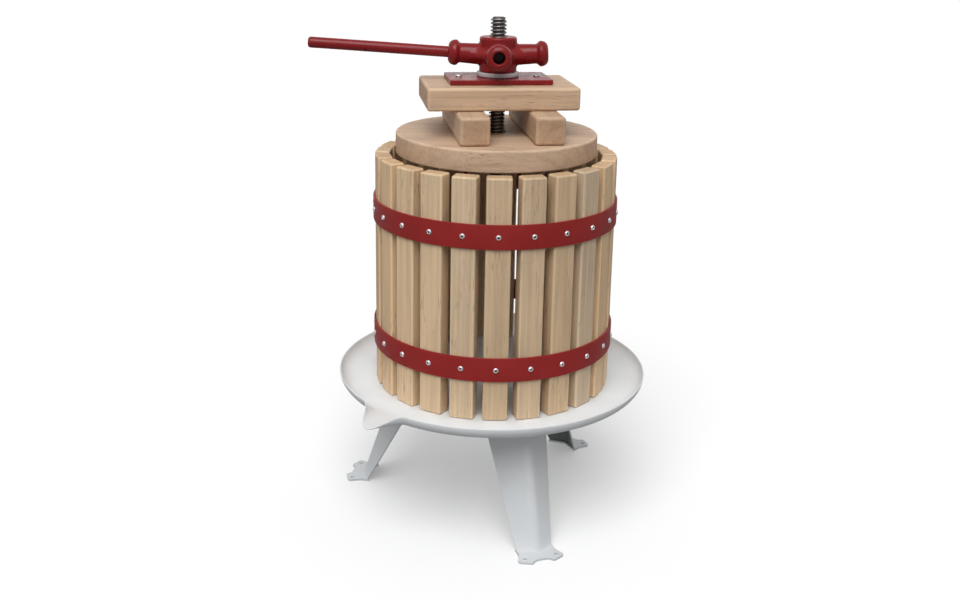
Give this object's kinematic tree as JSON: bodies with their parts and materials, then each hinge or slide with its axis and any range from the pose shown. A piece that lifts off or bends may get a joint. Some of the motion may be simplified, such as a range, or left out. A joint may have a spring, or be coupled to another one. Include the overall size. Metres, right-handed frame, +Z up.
{
  "type": "basket wine press",
  "caption": "Tabletop basket press: slatted wooden basket in steel hoops on a spouted three-legged tray, pressed by a hub nut and bar on a fixed screw.",
  "frame": {"origin": "on the floor under the middle of the overall box; the screw's axis stands 15.1 mm to the right of it, at x 0.0151 m, y 0.0009 m", "axes": "+Z up along the screw, -Y the front, +X right; at rest the handle bar points towards -X and the spout is at the front left"},
  "size_m": [0.392, 0.3619, 0.5738],
  "materials": {
    "white_coat": "smooth white powder coat, satin gloss",
    "zinc": "bright zinc plate",
    "screw_steel": "machined steel, slightly greasy",
    "stave_wood": "sawn and planed beech, unvarnished",
    "head_wood": "planed solid beech, unvarnished",
    "hoop_red": "deep red paint, satin",
    "cast_red": "deep red gloss paint over cast iron and steel",
    "washer_plastic": "pale grey plastic"
  },
  "bodies": {
    "base": {"tray": "white_coat", "leg_front": "white_coat", "leg_right": "white_coat", "leg_left": "white_coat", "bolt_leg_front_1": "zinc", "bolt_leg_front_2": "zinc", "bolt_leg_right_1": "zinc", "bolt_leg_right_2": "zinc", "bolt_leg_left_1": "zinc", "bolt_leg_left_2": "zinc", "nut_leg_front_1": "zinc", "nut_leg_front_2": "zinc", "nut_leg_right_1": "zinc", "nut_leg_right_2": "zinc", "nut_leg_left_1": "zinc", "nut_leg_left_2": "zinc", "screw": "screw_steel", "screw_washer": "zinc", "screw_lock_nut": "zinc"},
    "basket": {"stave_01": "stave_wood", "stave_02": "stave_wood", "stave_03": "stave_wood", "stave_04": "stave_wood", "stave_05": "stave_wood", "stave_06": "stave_wood", "stave_07": "stave_wood", "stave_08": "stave_wood", "stave_09": "stave_wood", "stave_10": "stave_wood", "stave_11": "stave_wood", "stave_12": "stave_wood", "stave_13": "stave_wood", "stave_14": "stave_wood", "stave_15": "stave_wood", "stave_16": "stave_wood", "stave_17": "stave_wood", "stave_18": "stave_wood", "stave_19": "stave_wood", "stave_20": "stave_wood", "stave_21": "stave_wood", "stave_22": "stave_wood", "stave_23": "stave_wood", "hoop_lower": "hoop_red", "hoop_upper": "hoop_red"},
    "press_head": {"pressing_disc": "head_wood", "spacer_block_left": "head_wood", "spacer_block_right": "head_wood", "crossbeam": "head_wood", "pressure_plate": "cast_red", "plate_screw_1": "zinc", "plate_screw_2": "zinc", "thrust_washer": "washer_plastic"},
    "hub": {"hub_nut": "cast_red"},
    "handle": {"handle_bar": "cast_red"}
  },
  "joints": [
    {"name": "press_travel", "type": "slide", "parent": "base", "child": "press_head", "axis": [0, 0, 1], "range_m": [-0.0786, 0]},
    {"name": "nut_spin", "type": "hinge", "parent": "press_head", "child": "hub", "pos_m": [0.01508, 0.00089, 0.514], "axis": [0, 0, 1], "range_deg": [-7065, 0]},
    {"name": "handle_slide", "type": "slide", "parent": "hub", "child": "handle", "axis": [-0.9982, -0.0244, 0.0541], "range_m": [0, 0.03]},
    {"name": "basket_lift", "type": "slide", "parent": "base", "child": "basket", "axis": [0, 0, 1], "range_m": [0, 0.022]}
  ],
  "couplings": [
    {"joint": "press_travel", "follows": "nut_spin", "m_per_rad": 0.00063662}
  ]
}
